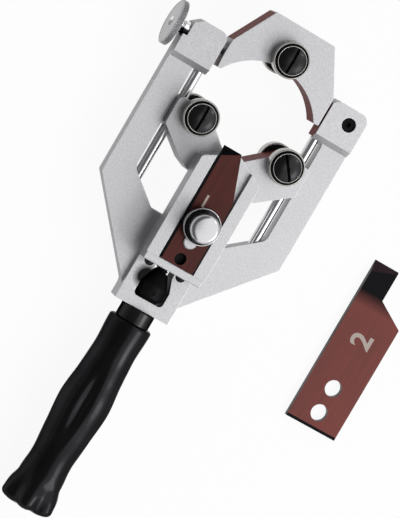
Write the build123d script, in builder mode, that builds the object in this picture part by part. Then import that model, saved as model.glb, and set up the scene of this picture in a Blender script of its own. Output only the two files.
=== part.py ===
from build123d import *
import math
import os

# Cable and rollers
cable_diameter = 49.6  # the cable that the three roller pairs close on as stored
roller_diameter = 22.0
roller_width = 7.0
roller_spread = 60.0  # between the two lower axles
race_wall = 1.2
race_edge = 0.4
shield_recess = 0.5
spacer_thickness = 0.5
spacer_radius = 5.0
axle_diameter = 6.0
axle_depth = 6.5
head_radius = 9.0
head_height = 2.5
head_slot_width = 1.7
head_slot_depth = 1.2
upper_slot_angle = 90.0
left_slot_angle = 90.0
right_slot_angle = -52.0

# Fits
running_gap = 0.05
sliding_gap = 0.4
face_gap = 0.2

# Frame
frame_width = 125.0
frame_length = 171.3  # underside of the base to the upper axle
plate_thickness = 9.0
block_thickness = 13.0
arm_width = 16.5
base_width = 36.6
base_height = 55.4
base_flank = 9.7  # straight side of the base below the diagonal
corner_height = 60.5
crotch_width = 50.0
pocket_height = 72.0
block_width = 24.9
block_drop = 27.1  # top of the blocks down to their front step
block_ramp = 3.5
pivot_below_axle = 15.3  # upper axle down to the hinge pin and the latch screw
pivot_below_top = 9.8

# Base window and slot
window_width = 19.6
web_height = 6.7
window_corner = 2.5
window_straight = 9.9
window_taper = 8.8
slot_width = 13.0

# Guide rods
rod_diameter = 6.0
rod_in_block = 3.6  # rod axis outwards from the inner face of its block
rod_socket_low = 12.0
rod_socket_top = 6.2

# Slider, the lower jaw
slider_back = 8.5  # behind the pivot plane
slider_front = 9.5
wing_height = 18.2
wing_above_axle = 5.5
vee_below_axle = 16.0
vee_angle = 40.0
belly_width = 52.0
belly_below_axle = 27.5
neck_width = 38.0
neck_below_axle = 30.5
stem_length = 36.5
pad_height = 2.0

# Blade holder and blade
holder_width = 40.0
holder_thickness = 11.0
holder_below_axle = 82.0
holder_shoulder = 64.0
gable_rise = 10.8
channel_width = 24.2
channel_depth = 3.0
end_plate_thickness = 4.8
end_plate_margin = 0.8
end_screw_spread = 21.6
end_screw_shift = -2.8  # the pair sits off centre, as in the photo
end_head_radius = 3.1
end_head_height = 3.0
end_screw_radius = 1.6
end_screw_length = 9.0
blade_width = 21.8
blade_length = 75.0
blade_thickness = 3.5
blade_tip_width = 11.1
blade_slant_length = 27.7
hole_radius = 3.6
hole_pitch = 11.4
hole_margin = 4.6
ground_low = 6.3
ground_high = 0.4
holder_screw_radius = 2.0
holder_head_radius = 3.4
holder_head_height = 2.6
holder_screw_spread = 9.0
holder_screw_drop = 9.0  # shoulder of the holder down to its upper screws
stem_screw_up = 25.5
screw_into_slider = 6.5

# Knob and locating screw
stud_diameter = 6.0
washer_radius = 8.0
washer_thickness = 1.6
knob_flange_radius = 11.3
knob_flange_height = 4.8
knob_hub_radius = 7.0
knob_hub_height = 1.6
knob_neck_radius = 7.6
knob_neck_height = 1.2
knob_cap_radius = 8.9
knob_cap_height = 6.4
knob_cap_round = 3.0
knob_bore_wall = 2.4
locating_head_radius = 4.2
locating_head_height = 1.5

# Upper jaw
jaw_thickness = 16.0
jaw_latch_gap = 2.2  # free end to the latch block
jaw_hinge_gap = 1.7
jaw_top_width = 40.8
jaw_above_axle = 20.2
jaw_flank_height = 18.3
throat_drop = 9.0  # cable centre down to the centre of the throat
throat_foot = 2.74  # width of the free end's foot
jaw_low = 11.0  # cable centre up to the feet of the jaw
tongue_thickness = 6.0
tongue_radius = 8.0
tongue_gap = 0.1
pin_from_side = 9.8
pin_diameter = 6.0
pin_head_radius = 4.4
pin_head_height = 1.0
pin_recess = 1.2

# Latch screw
latch_radius = 4.0
latch_neck_radius = 4.8
latch_tang_radius = 3.0
latch_step = 2.7
latch_step_drop = 2.9
latch_knob_radius = 14.4
latch_knob_width = 4.0
latch_neck_length = 7.2
latch_tip_gap = 0.25

# Feed screw and handle
shank_radius = 5.0
screw_radius = 4.0
screw_reach = 52.0
screw_into_grip = 75.0
collar_radius = 9.4
collar_straight = 9.8
collar_cone = 8.6
collar_top_radius = 4.9
collar_pin_radius = 1.5
collar_pin_up = 5.5
neck_radius = 10.9
neck_length = 9.0
grip_length = 126.7
grip_top_radius = 13.9
grip_waist_radius = 13.2
grip_bulge_radius = 17.9
grip_end_radius = 18.5
upper_waist_at = 19.0
bulge_at = 55.5
lower_waist_at = 94.0
flare_at = 120.0
grip_end_flat = 8.0
flute_count = 6
flute_radius = 9.0
bulge_flute_depth = 2.4
bulge_flute_length = 84.0
end_flute_depth = 4.2
end_flute_length = 64.0

# Loose blade beside the tool
spare_scale = 1.5
spare_width = 23.5
spare_thickness = 4.0
spare_length = 72.8
spare_tip_width = 10.8
spare_hole_margin = 7.2
spare_tip_length = 13.3
spare_slant = 7.2
spare_ground_low = 4.8
spare_ground_high = 0.8
spare_offset = 136.4  # tool axis to the loose blade's middle
spare_below_cable = 150.1

# Places along the tool, measured from the cable's centre
roller_radius = roller_diameter / 2
upper_axle_y = cable_diameter / 2 + roller_radius
lower_axle_y = -math.sqrt(upper_axle_y**2 - (roller_spread / 2) ** 2)
base_y = upper_axle_y - frame_length
crotch_y = base_y + base_height
pivot_y = upper_axle_y - pivot_below_axle
block_top_y = pivot_y + pivot_below_top
block_low_y = block_top_y - block_drop
pocket_top_y = block_low_y + 1.1
window_low_y = base_y + web_height
window_top_y = window_low_y + window_straight + window_taper

# Places across the tool
frame_half = frame_width / 2
arm_inner = frame_half - arm_width
block_inner = frame_half - block_width
rod_x = block_inner + rod_in_block
jaw_left = block_inner - jaw_latch_gap
jaw_right = block_inner - jaw_hinge_gap
pin_x = frame_half - pin_from_side
wing_x = arm_inner - sliding_gap

# Levels, measured from the plane of the feed screw
plate_back = -block_thickness / 2
plate_front = plate_back + plate_thickness
block_front = block_thickness / 2
rod_z = (plate_back + plate_front) / 2
holder_back = slider_front + pad_height
holder_front = holder_back + holder_thickness
floor_z = holder_front - channel_depth
blade_front = floor_z + blade_thickness

# Rods
slope = (pocket_height - base_height) / (arm_inner - crotch_width / 2)
rod_low_y = crotch_y + slope * (rod_x - crotch_width / 2) - rod_socket_low
rod_top_y = pocket_top_y + rod_socket_top
slot_floor_y = pivot_y - tongue_radius - sliding_gap
spotface_radius = latch_neck_radius + sliding_gap
latch_seat_x = -frame_half + latch_step


def near(shape_list, x, y):
    return shape_list.sort_by_distance((x, y, 0))[0]


def upright(edges, x, y):
    return edges.filter_by(Axis.Z).sort_by_distance((x, y, 0))[0:1]


def export(part, name):
    part.label = name
    export_step(part, f"parts/{name}.step")


os.makedirs("parts", exist_ok=True)

# Frame: one yoke, thin in its arms and thick in its base and in its two blocks
with BuildPart() as frame:
    with BuildSketch(Plane.XY.offset(plate_back)) as yoke:
        with BuildLine():
            Polyline(
                (0, base_y),
                (base_width / 2, base_y),
                (base_width / 2, base_y + base_flank),
                (frame_half, base_y + corner_height),
                (frame_half, block_top_y),
                (block_inner, block_top_y),
                (block_inner, pocket_top_y),
                (arm_inner, pocket_top_y),
                (arm_inner, base_y + pocket_height),
                (crotch_width / 2, crotch_y),
                (0, crotch_y),
                close=True,
            )
        make_face()
        fillet(near(yoke.vertices(), base_width / 2, base_y + base_flank), radius=6.0)
        fillet(near(yoke.vertices(), frame_half, base_y + corner_height), radius=2.5)
        fillet(near(yoke.vertices(), arm_inner, pocket_top_y), radius=3.5)
        fillet(near(yoke.vertices(), arm_inner, base_y + pocket_height), radius=6.0)
        fillet(near(yoke.vertices(), crotch_width / 2, crotch_y), radius=2.0)
        mirror(about=Plane.YZ)
    extrude(amount=plate_thickness)
    with BuildSketch(Plane.XY.offset(plate_back)):
        with Locations((0, base_y)):
            Rectangle(base_width, base_height, align=(Align.CENTER, Align.MIN))
    extrude(amount=block_thickness)
    for side in (-1, 1):
        inner = min(side * block_inner, side * frame_half)
        with BuildSketch(Plane.YZ.offset(inner)):
            with BuildLine():
                Polyline(
                    (block_low_y, plate_front),
                    (block_low_y + block_ramp, block_front),
                    (block_top_y, block_front),
                    (block_top_y, plate_front - 1),
                    (block_low_y, plate_front - 1),
                    close=True,
                )
            make_face()
        extrude(amount=block_width)
    fillet(upright(frame.edges(), frame_half, block_top_y), radius=6.0)
    fillet(upright(frame.edges(), -block_inner, block_top_y), radius=5.0)
    chamfer(upright(frame.edges(), block_inner, block_top_y), length=3.0)
    # window for the thrust collar, with the slot for the slider's stem above it
    with BuildSketch(Plane.XY.offset(plate_back)) as window:
        with BuildLine():
            Polyline(
                (0, window_low_y),
                (window_width / 2, window_low_y),
                (window_width / 2, window_low_y + window_straight),
                (slot_width / 2, window_top_y),
                (slot_width / 2, crotch_y + 1),
                (0, crotch_y + 1),
                close=True,
            )
        make_face()
        fillet(near(window.vertices(), window_width / 2, window_low_y), radius=window_corner)
        mirror(about=Plane.YZ)
    extrude(amount=block_thickness, mode=Mode.SUBTRACT)
    with BuildSketch(Plane.XZ.offset(-base_y)):
        Circle(shank_radius + running_gap)
    extrude(amount=-web_height, mode=Mode.SUBTRACT)
    with BuildSketch(Plane.XZ.offset(-rod_low_y)):
        with Locations((-rod_x, rod_z), (rod_x, rod_z)):
            Circle(rod_diameter / 2)
    extrude(amount=-(rod_top_y - rod_low_y), mode=Mode.SUBTRACT)
    # hinge block: a slot for the jaw's tongue and a recessed pin
    with BuildSketch(Plane.YZ.offset(block_inner - 1)):
        with Locations((slot_floor_y, 0)):
            Rectangle(
                block_top_y - slot_floor_y + 1,
                tongue_thickness + 2 * tongue_gap,
                align=(Align.MIN, Align.CENTER),
            )
    extrude(amount=block_width + 2, mode=Mode.SUBTRACT)
    with Locations((pin_x, pivot_y, block_front)):
        CounterBoreHole(pin_diameter / 2, pin_head_radius, pin_recess + pin_head_height, block_thickness)
    # latch block: its outer face is stepped back round the screw's neck
    with BuildSketch(Plane.YZ.offset(-frame_half)):
        with Locations((pivot_y - latch_step_drop, 0)):
            Rectangle(
                block_top_y - pivot_y + latch_step_drop + 1,
                block_thickness,
                align=(Align.MIN, Align.CENTER),
            )
        with Locations((pivot_y, 0)):
            Circle(spotface_radius)
    extrude(amount=latch_step, mode=Mode.SUBTRACT)
    with BuildSketch(Plane.YZ.offset(-frame_half)):
        with Locations((pivot_y, 0)):
            Circle(latch_radius + running_gap)
    extrude(amount=block_width, mode=Mode.SUBTRACT)
    chamfer(upright(frame.edges(), latch_seat_x, block_top_y), length=4.0, length2=5.0)
export(frame.part, "frame")

for side, name in ((-1, "guide_rod_left"), (1, "guide_rod_right")):
    with BuildPart() as rod:
        with BuildSketch(Plane.XZ.offset(-rod_low_y)):
            with Locations((side * rod_x, rod_z)):
                Circle(rod_diameter / 2)
        extrude(amount=-(rod_top_y - rod_low_y))
        chamfer(rod.edges().filter_by(GeomType.CIRCLE), length=0.5)
    export(rod.part, name)

with BuildPart() as hinge_pin:
    with BuildSketch(Plane.XZ.offset(-pivot_y)):
        with BuildLine():
            Polyline(
                (pin_x, plate_back),
                (pin_x + pin_diameter / 2, plate_back),
                (pin_x + pin_diameter / 2, block_front - pin_recess - pin_head_height),
                (pin_x + pin_head_radius, block_front - pin_recess - pin_head_height),
                (pin_x + pin_head_radius, block_front - pin_recess),
                (pin_x, block_front - pin_recess),
                close=True,
            )
        make_face()
    revolve(axis=Axis((pin_x, pivot_y, 0), (0, 0, 1)))
    with BuildSketch(Plane((pin_x, pivot_y, block_front - pin_recess))):
        RegularPolygon(1.7, 6)
    extrude(amount=-pin_head_height - 1, mode=Mode.SUBTRACT)
export(hinge_pin.part, "hinge_pin")

# Slider: the lower jaw, bored for the rods and, in its stem, for the feed screw
wing_top_y = lower_axle_y + wing_above_axle
vee_y = lower_axle_y - vee_below_axle
vee_half = (wing_top_y - vee_y) / math.tan(math.radians(vee_angle))
neck_y = lower_axle_y - neck_below_axle
stem_half = slot_width / 2 - face_gap
stem_low_y = neck_y - stem_length
screw_top_y = window_top_y + screw_reach
holder_low_y = lower_axle_y - holder_below_axle
gable_y = holder_low_y + holder_shoulder
with BuildPart() as slider:
    with BuildSketch(Plane.XY.offset(-slider_back)) as jaw_outline:
        with BuildLine():
            Polyline(
                (0, vee_y),
                (vee_half, wing_top_y),
                (wing_x, wing_top_y),
                (wing_x, wing_top_y - wing_height),
                (belly_width / 2, lower_axle_y - belly_below_axle),
                (neck_width / 2, neck_y),
                (stem_half, neck_y),
                (stem_half, stem_low_y),
                (0, stem_low_y),
                close=True,
            )
        make_face()
        fillet(near(jaw_outline.vertices(), wing_x, wing_top_y), radius=3.0)
        fillet(near(jaw_outline.vertices(), wing_x, wing_top_y - wing_height), radius=2.0)
        fillet(near(jaw_outline.vertices(), belly_width / 2, lower_axle_y - belly_below_axle), radius=3.0)
        mirror(about=Plane.YZ)
    extrude(amount=slider_back + slider_front)
    with BuildSketch(Plane.XY.offset(slider_front)):
        with BuildLine():
            Polyline(
                (0, vee_y),
                (holder_width / 2, gable_y),
                (holder_width / 2, neck_y + 2),
                (neck_width / 2, neck_y),
                (stem_half, neck_y),
                (stem_half, stem_low_y),
                (0, stem_low_y),
                close=True,
            )
        make_face()
        mirror(about=Plane.YZ)
    extrude(amount=pad_height)
    with BuildSketch(Plane.XZ.offset(-neck_y)):
        with Locations((-rod_x, rod_z), (rod_x, rod_z)):
            Circle(rod_diameter / 2 + running_gap)
    extrude(amount=-(wing_top_y - neck_y), mode=Mode.SUBTRACT)
    with BuildSketch(Plane.XZ.offset(-stem_low_y)):
        Circle(screw_radius + running_gap)
    extrude(amount=-(vee_y - 2 - stem_low_y), mode=Mode.SUBTRACT)
    for x in (-roller_spread / 2, roller_spread / 2):
        with Locations((x, lower_axle_y, slider_front)):
            Hole(axle_diameter / 2, axle_depth)
        with Locations(Location((x, lower_axle_y, -slider_back), (180, 0, 0))):
            Hole(axle_diameter / 2, axle_depth)
    with Locations(
        (-holder_screw_spread / 2, gable_y - holder_screw_drop, holder_back),
        (holder_screw_spread / 2, gable_y - holder_screw_drop, holder_back),
    ):
        Hole(holder_screw_radius, screw_into_slider)
    with Locations((0, stem_low_y + stem_screw_up, holder_back)):
        Hole(holder_screw_radius, holder_back - screw_radius - 2)
export(slider.part, "slider")

# Blade holder: a channel with a gable top, screwed to the slider and its stem
screw_places = (
    (-holder_screw_spread / 2, gable_y - holder_screw_drop, screw_into_slider),
    (holder_screw_spread / 2, gable_y - holder_screw_drop, screw_into_slider),
    (0, stem_low_y + stem_screw_up, holder_back - screw_radius - 2),
)
blade_low_y = holder_low_y + 0.4
hole_ys = [blade_low_y + hole_margin + i * hole_pitch for i in range(3)]
knob_y = hole_ys[2]
end_screw_xs = (end_screw_shift - end_screw_spread / 2, end_screw_shift + end_screw_spread / 2)
end_screw_z = (holder_back + floor_z) / 2
with BuildPart() as blade_holder:
    with BuildSketch(Plane.XY.offset(holder_back)) as channel_outline:
        with BuildLine():
            Polyline(
                (0, holder_low_y),
                (holder_width / 2, holder_low_y),
                (holder_width / 2, gable_y),
                (0, gable_y + gable_rise),
                close=True,
            )
        make_face()
        fillet(near(channel_outline.vertices(), holder_width / 2, gable_y), radius=2.5)
        mirror(about=Plane.YZ)
    extrude(amount=holder_thickness)
    with BuildSketch(Plane.XY.offset(floor_z)):
        with Locations((0, holder_low_y)):
            Rectangle(channel_width, holder_shoulder + gable_rise, align=(Align.CENTER, Align.MIN))
    extrude(amount=channel_depth, mode=Mode.SUBTRACT)
    for x, y, _ in screw_places:
        with Locations((x, y, floor_z)):
            CounterBoreHole(holder_screw_radius, holder_head_radius, holder_head_height, holder_thickness)
    with Locations((0, knob_y, floor_z)):
        Hole(stud_diameter / 2 + running_gap, 6)
    with Locations((0, hole_ys[1], floor_z)):
        Hole(stud_diameter / 4, 6)
    with BuildSketch(Plane.XZ.offset(-holder_low_y)):
        with Locations(*[(x, end_screw_z) for x in end_screw_xs]):
            Circle(end_screw_radius)
    extrude(amount=-(end_screw_length - end_plate_thickness), mode=Mode.SUBTRACT)
export(blade_holder.part, "blade_holder")

with BuildPart() as holder_screws:
    for x, y, depth in screw_places:
        with BuildSketch(Plane.XY.offset(holder_back - depth)):
            with Locations((x, y)):
                Circle(holder_screw_radius)
        extrude(amount=depth + floor_z - holder_head_height - holder_back)
        with BuildSketch(Plane.XY.offset(floor_z - holder_head_height)):
            with Locations((x, y)):
                Circle(holder_head_radius)
                RegularPolygon(1.7, 6, mode=Mode.SUBTRACT)
        extrude(amount=holder_head_height)
export(holder_screws.part, "holder_screws")

end_plate_half = holder_width / 2 - end_plate_margin
plate_low_y = holder_low_y - end_plate_thickness
with BuildPart() as end_plate:
    with BuildSketch(Plane.XY.offset(holder_back)):
        with Locations((0, plate_low_y)):
            Rectangle(2 * end_plate_half, end_plate_thickness, align=(Align.CENTER, Align.MIN))
    extrude(amount=holder_thickness - end_plate_margin)
    chamfer(end_plate.edges().group_by(Axis.Y)[0].filter_by(Axis.X), length=0.6)
    with BuildSketch(Plane.XZ.offset(-plate_low_y)):
        with Locations(*[(x, end_screw_z) for x in end_screw_xs]):
            Circle(end_screw_radius)
    extrude(amount=-end_plate_thickness, mode=Mode.SUBTRACT)
export(end_plate.part, "holder_end_plate")

with BuildPart() as end_plate_screws:
    for x in end_screw_xs:
        with BuildSketch(Plane.XY.offset(end_screw_z)):
            with BuildLine():
                Polyline(
                    (x, plate_low_y - end_head_height),
                    (x, plate_low_y + end_screw_length),
                    (x + end_screw_radius, plate_low_y + end_screw_length),
                    (x + end_screw_radius, plate_low_y),
                    (x + end_head_radius, plate_low_y),
                )
                TangentArc(
                    (x, plate_low_y - end_head_height),
                    (x + end_head_radius, plate_low_y),
                    tangent=(1, 0),
                )
            make_face()
        revolve(axis=Axis((x, 0, end_screw_z), (0, 1, 0)))
export(end_plate_screws.part, "end_plate_screws")


def ground(part_builder, left, right, top, low, high, front, depth):
    # a flat ground slantwise across the tip, from the front face to near the back of the edge
    line_start = Vector(left, top - low, front)
    line_end = Vector(right, top - high, front)
    deep = Vector(left, top, front - depth)
    normal = (line_end - line_start).cross(deep - line_start).normalized()
    with part_builder:
        split(bisect_by=Plane(origin=line_start, z_dir=normal), keep=Keep.BOTTOM)


# Cutting blade, held by its upper holes
blade_half = blade_width / 2
tip_right = -blade_half + blade_tip_width
blade_top_y = blade_low_y + blade_length
with BuildPart() as blade:
    with BuildSketch(Plane.XY.offset(floor_z)) as blade_outline:
        with BuildLine():
            Polyline(
                (tip_right, blade_top_y),
                (-blade_half, blade_top_y),
                (-blade_half, blade_low_y),
                (blade_half, blade_low_y),
                (blade_half, blade_top_y - blade_slant_length),
                close=True,
            )
        make_face()
        with Locations(*[(0, y) for y in hole_ys]):
            Circle(hole_radius, mode=Mode.SUBTRACT)
    extrude(amount=blade_thickness)
ground(blade, -blade_half, tip_right, blade_top_y, ground_low, ground_high, blade_front, blade_thickness - 0.3)
export(blade.part, "cutting_blade")

with BuildPart() as locating_screw:
    with BuildSketch(Plane.XZ.offset(-hole_ys[1])):
        with BuildLine():
            Polyline(
                (0, floor_z - 6),
                (stud_diameter / 4, floor_z - 6),
                (stud_diameter / 4, floor_z),
                (hole_radius - running_gap, floor_z),
                (hole_radius - running_gap, blade_front),
                (locating_head_radius, blade_front),
                (locating_head_radius, blade_front + locating_head_height - 0.5),
                (locating_head_radius - 0.5, blade_front + locating_head_height),
                (0, blade_front + locating_head_height),
                close=True,
            )
        make_face()
    revolve(axis=Axis((0, hole_ys[1], 0), (0, 0, 1)))
export(locating_screw.part, "blade_locating_screw")

# Clamping knob on its stud, with the washer that bears on the blade
washer_top = blade_front + washer_thickness
flange_z = washer_top + knob_hub_height
cap_z = flange_z + knob_flange_height + knob_neck_height
knob_top = cap_z + knob_cap_height
knob_bore = knob_top - knob_bore_wall
with BuildPart() as stud:
    with BuildSketch(Plane.XY.offset(floor_z - 6)):
        with Locations((0, knob_y)):
            Circle(stud_diameter / 2)
    extrude(amount=knob_bore - 1 - floor_z + 6)
    chamfer(stud.edges().group_by(Axis.Z)[-1], length=0.6)
export(stud.part, "blade_stud")

with BuildPart() as washer:
    with BuildSketch(Plane.XY.offset(blade_front)):
        with Locations((0, knob_y)):
            Circle(washer_radius)
            Circle(stud_diameter / 2 + running_gap, mode=Mode.SUBTRACT)
    extrude(amount=washer_thickness)
    # its lower side is cut flat, to pass the head of the locating screw
    with BuildSketch(Plane.XY.offset(blade_front)):
        with Locations((0, hole_ys[1])):
            Circle(locating_head_radius + face_gap)
    extrude(amount=washer_thickness, mode=Mode.SUBTRACT)
export(washer.part, "clamp_washer")

with BuildPart() as knob:
    with BuildSketch(Plane.XZ.offset(-knob_y)):
        with BuildLine():
            Polyline(
                (0, washer_top),
                (knob_hub_radius, washer_top),
                (knob_hub_radius, flange_z),
                (knob_flange_radius - 0.8, flange_z),
                (knob_flange_radius, flange_z + 0.8),
                (knob_flange_radius, flange_z + knob_flange_height - 0.8),
                (knob_flange_radius - 0.8, flange_z + knob_flange_height),
                (knob_neck_radius, flange_z + knob_flange_height),
                (knob_neck_radius, cap_z),
                (knob_cap_radius - 0.6, cap_z),
                (knob_cap_radius, cap_z + 0.6),
                (knob_cap_radius, knob_top - knob_cap_round),
            )
            TangentArc(
                (knob_cap_radius, knob_top - knob_cap_round),
                (knob_cap_radius - knob_cap_round, knob_top),
                tangent=(0, 1),
            )
            Polyline((knob_cap_radius - knob_cap_round, knob_top), (0, knob_top), (0, washer_top))
        make_face()
    revolve(axis=Axis((0, knob_y, 0), (0, 0, 1)))
    with BuildSketch(Plane.XY.offset(washer_top)):
        with Locations((0, knob_y)):
            Circle(stud_diameter / 2 + running_gap)
    extrude(amount=knob_bore - washer_top, mode=Mode.SUBTRACT)
export(knob.part, "blade_knob")

# Upper jaw, with the tongue that swings in the hinge block
jaw_half = jaw_thickness / 2
jaw_flank_y = jaw_low + jaw_flank_height
jaw_top_y = upper_axle_y + jaw_above_axle
throat_y = -throat_drop
foot_half = jaw_left - throat_foot
throat_radius = math.hypot(foot_half, jaw_low - throat_y)
swing_radius = pin_x + jaw_left


def end_x(y):
    # the jaw's free end lies on a circle round the hinge pin
    return pin_x - math.sqrt(swing_radius**2 - (y - pivot_y) ** 2)


with BuildPart() as upper_jaw:
    with BuildSketch(Plane.XY.offset(-jaw_half)) as gate:
        with BuildLine():
            Line((-foot_half, jaw_low), (end_x(jaw_low), jaw_low))
            ThreePointArc((end_x(jaw_low), jaw_low), (-jaw_left, pivot_y), (end_x(jaw_flank_y), jaw_flank_y))
            Polyline(
                (end_x(jaw_flank_y), jaw_flank_y),
                (-jaw_top_width / 2, jaw_top_y),
                (jaw_top_width / 2, jaw_top_y),
                (jaw_right, jaw_flank_y),
                (jaw_right, jaw_low),
                (foot_half, jaw_low),
            )
            ThreePointArc((foot_half, jaw_low), (0, throat_y + throat_radius), (-foot_half, jaw_low))
        make_face()
        fillet(near(gate.vertices(), -jaw_top_width / 2, jaw_top_y), radius=1.5)
        fillet(near(gate.vertices(), jaw_top_width / 2, jaw_top_y), radius=1.5)
    extrude(amount=jaw_thickness)
    with BuildSketch(Plane.XY.offset(-tongue_thickness / 2)):
        with Locations((pin_x, pivot_y)):
            Circle(tongue_radius)
            Rectangle(pin_x - jaw_right + 2, 2 * tongue_radius - 2, align=(Align.MAX, Align.CENTER))
    extrude(amount=tongue_thickness)
    with Locations((pin_x, pivot_y, 0)):
        Hole(pin_diameter / 2 + running_gap)
    with Locations((0, upper_axle_y, jaw_half)):
        Hole(axle_diameter / 2, axle_depth)
    with Locations(Location((0, upper_axle_y, -jaw_half), (180, 0, 0))):
        Hole(axle_diameter / 2, axle_depth)
export(upper_jaw.part, "upper_jaw")

# Latch: a screw through the left block, turned by a knurled disc
neck_out_x = latch_seat_x - face_gap - latch_neck_length
latch_tip_x = -jaw_left - latch_tip_gap
with BuildPart() as latch_screw:
    with BuildSketch(Plane.XY) as screw_profile:
        with BuildLine():
            Polyline(
                (neck_out_x - latch_knob_width, pivot_y),
                (neck_out_x - latch_knob_width, pivot_y + latch_tang_radius),
                (neck_out_x, pivot_y + latch_tang_radius),
                (neck_out_x, pivot_y + latch_neck_radius),
                (neck_out_x + 2.6, pivot_y + latch_neck_radius),
                (neck_out_x + 3.4, pivot_y + latch_neck_radius - 1),
                (neck_out_x + 4.2, pivot_y + latch_neck_radius),
                (latch_seat_x - face_gap, pivot_y + latch_neck_radius),
                (latch_seat_x - face_gap, pivot_y + latch_radius),
                (latch_tip_x - 2, pivot_y + latch_radius),
                (latch_tip_x, pivot_y + latch_radius - 2),
                (latch_tip_x, pivot_y),
                close=True,
            )
        make_face()
    revolve(axis=Axis((0, pivot_y, 0), (1, 0, 0)))
export(latch_screw.part, "latch_screw")

with BuildPart() as latch_knob:
    with BuildSketch(Plane.XY):
        with BuildLine():
            Polyline(
                (neck_out_x - latch_knob_width, pivot_y + latch_tang_radius + running_gap),
                (neck_out_x - latch_knob_width, pivot_y + latch_knob_radius - 1),
                (neck_out_x - latch_knob_width + 1, pivot_y + latch_knob_radius),
                (neck_out_x - 1, pivot_y + latch_knob_radius),
                (neck_out_x, pivot_y + latch_knob_radius - 1),
                (neck_out_x, pivot_y + latch_tang_radius + running_gap),
                close=True,
            )
        make_face()
    revolve(axis=Axis((0, pivot_y, 0), (1, 0, 0)))
export(latch_knob.part, "latch_knob")


def on_side(side, x, y, face):
    # a plane on the front (1) or back (-1) face of a jaw, its normal pointing away from the jaw
    return Plane(origin=(x, y, side * face), x_dir=(1, 0, 0), z_dir=(0, 0, side))


def outer_race(side, x, y, face):
    bore = roller_radius - race_wall
    with BuildPart() as race:
        with BuildSketch(on_side(side, x, y, face + spacer_thickness)):
            Circle(roller_radius)
            Circle(bore, mode=Mode.SUBTRACT)
        extrude(amount=roller_width)
        rims = race.edges().filter_by(GeomType.CIRCLE).sort_by(SortBy.RADIUS)[-2:]
        chamfer(rims, length=race_edge)
    return race.part


def roller_cores(places):
    # inner race and shields of the two rollers on one axis, one solid each
    core_radius = roller_radius - race_wall - running_gap
    with BuildPart() as cores:
        for side, x, y, face in places:
            with BuildSketch(on_side(side, x, y, face + spacer_thickness + shield_recess)):
                Circle(core_radius)
            extrude(amount=roller_width - 2 * shield_recess)
            with BuildSketch(on_side(side, x, y, face + spacer_thickness)):
                Circle(spacer_radius)
            extrude(amount=roller_width)
            with BuildSketch(on_side(side, x, y, face)):
                Circle(axle_diameter / 2)
            extrude(amount=roller_width + spacer_thickness, mode=Mode.SUBTRACT)
    return cores.part


def roller_spacers(places):
    with BuildPart() as spacers:
        for side, x, y, face in places:
            with BuildSketch(on_side(side, x, y, face)):
                Circle(spacer_radius)
                Circle(axle_diameter / 2, mode=Mode.SUBTRACT)
            extrude(amount=spacer_thickness)
    return spacers.part


def roller_screws(places, slot_angle):
    head_z = spacer_thickness + roller_width
    with BuildPart() as screws:
        for side, x, y, face in places:
            axis_plane = Plane(origin=(x, y, side * face), x_dir=(1, 0, 0), z_dir=(0, -side, 0))
            with BuildSketch(axis_plane):
                with BuildLine():
                    Polyline(
                        (0, head_z + head_height),
                        (0, -axle_depth),
                        (axle_diameter / 2, -axle_depth),
                        (axle_diameter / 2, head_z),
                        (head_radius, head_z),
                        (head_radius, head_z + 0.7),
                    )
                    ThreePointArc(
                        (head_radius, head_z + 0.7),
                        (head_radius * 0.72, head_z + head_height * 0.78),
                        (0, head_z + head_height),
                    )
                make_face()
            revolve(axis=Axis((x, y, 0), (0, 0, 1)))
            slot_plane = on_side(side, x, y, face + head_z + head_height - head_slot_depth)
            with BuildSketch(slot_plane):
                Rectangle(2 * head_radius, head_slot_width, rotation=slot_angle)
            extrude(amount=head_slot_depth, mode=Mode.SUBTRACT)
    return screws.part


roller_pairs = (
    ("upper", 0, upper_axle_y, jaw_half, jaw_half, upper_slot_angle),
    ("left", -roller_spread / 2, lower_axle_y, slider_front, slider_back, left_slot_angle),
    ("right", roller_spread / 2, lower_axle_y, slider_front, slider_back, right_slot_angle),
)
for place, x, y, front, back, slot_angle in roller_pairs:
    both = ((1, x, y, front), (-1, x, y, back))
    export(outer_race(1, x, y, front), f"roller_{place}_front")
    export(outer_race(-1, x, y, back), f"roller_{place}_back")
    export(roller_cores(both), f"roller_cores_{place}")
    export(roller_spacers(both), f"roller_spacers_{place}")
    export(roller_screws(both, slot_angle), f"roller_screws_{place}")

# Feed screw: turns in the base's web, between the neck below and the collar above
collar_low_y = window_low_y + face_gap
collar_top_y = collar_low_y + collar_straight + collar_cone
neck_top_y = base_y - face_gap
grip_top_y = neck_top_y - neck_length
with BuildPart() as feed_screw:
    with BuildSketch(Plane.XY):
        with BuildLine():
            Polyline(
                (0, grip_top_y - screw_into_grip),
                (shank_radius, grip_top_y - screw_into_grip),
                (shank_radius, collar_top_y - 4),
                (screw_radius, collar_top_y - 4),
                (screw_radius, screw_top_y - 1),
                (screw_radius - 1, screw_top_y),
                (0, screw_top_y),
                close=True,
            )
        make_face()
    revolve(axis=Axis.Y)
    with BuildSketch(Plane.XY.offset(-collar_radius)):
        with Locations((0, collar_low_y + collar_pin_up)):
            Circle(collar_pin_radius)
    extrude(amount=2 * collar_radius, mode=Mode.SUBTRACT)
export(feed_screw.part, "feed_screw")

with BuildPart() as thrust_collar:
    with BuildSketch(Plane.XY):
        with BuildLine():
            Polyline(
                (shank_radius, collar_low_y),
                (collar_radius - window_corner, collar_low_y),
                (collar_radius, collar_low_y + window_corner),
                (collar_radius, collar_low_y + collar_straight),
                (collar_top_radius, collar_top_y),
                (screw_radius, collar_top_y),
                (screw_radius, collar_top_y - 4),
                (shank_radius, collar_top_y - 4),
                close=True,
            )
        make_face()
    revolve(axis=Axis.Y)
    with BuildSketch(Plane.XY.offset(-collar_radius)):
        with Locations((0, collar_low_y + collar_pin_up)):
            Circle(collar_pin_radius)
    extrude(amount=2 * collar_radius, mode=Mode.SUBTRACT)
export(thrust_collar.part, "thrust_collar")

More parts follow.
